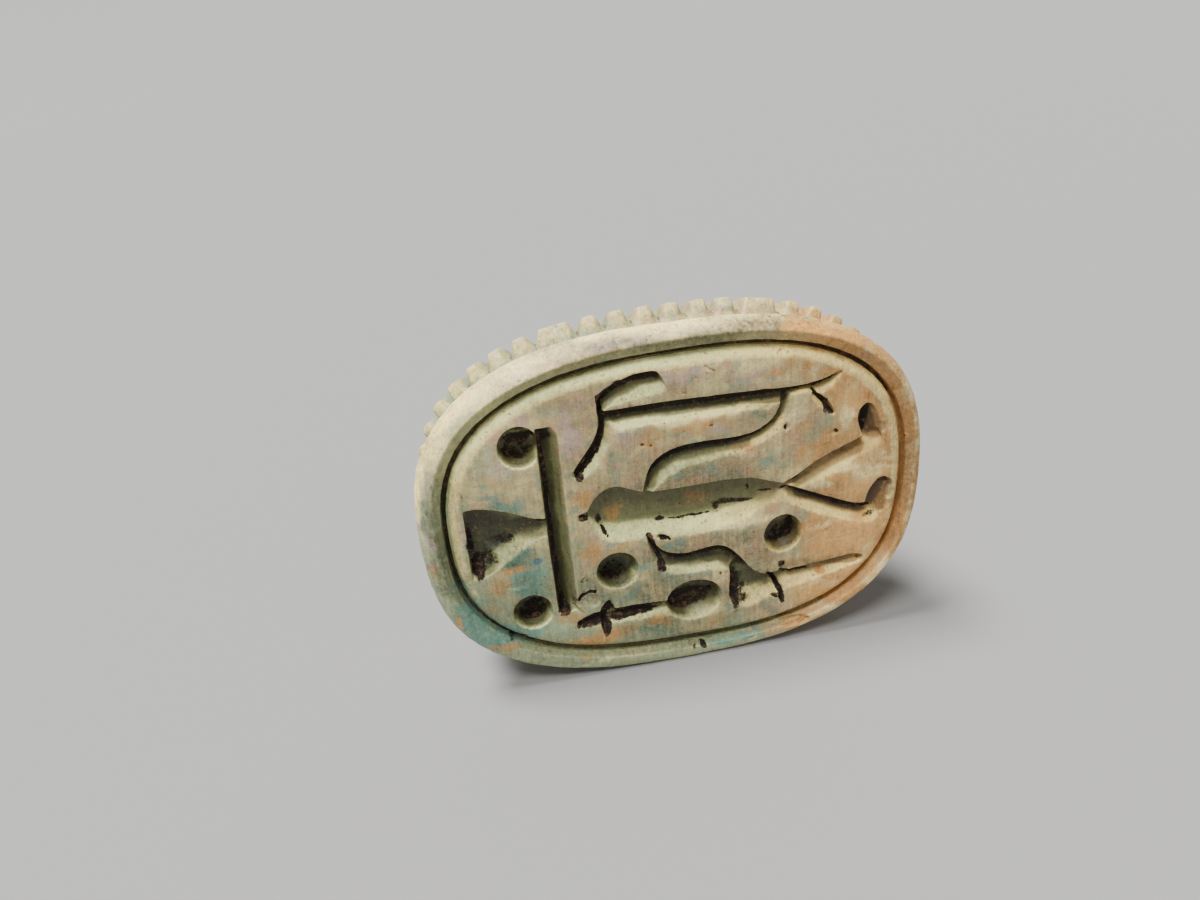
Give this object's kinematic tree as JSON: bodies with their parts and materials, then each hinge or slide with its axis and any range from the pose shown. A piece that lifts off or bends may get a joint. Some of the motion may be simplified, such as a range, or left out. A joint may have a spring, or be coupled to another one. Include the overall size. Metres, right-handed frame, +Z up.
{
  "type": "scarab amulet",
  "caption": "Carved stone scarab amulet: oval base with a figure cut in sunk relief inside a raised rim, notched legs round it and a plain domed beetle back.",
  "frame": {"origin": "middle of the footprint on the ground, under the amulet standing on its long side", "axes": "+X from the beetle's head to its tail, +Y from the figured face to the beetle's back, +Z up across the width"},
  "size_m": [0.0492, 0.0176, 0.0375],
  "materials": {
    "glazed_steatite": "satin"
  },
  "bodies": {
    "root": {"scarab_amulet": "glazed_steatite"}
  },
  "joints": []
}
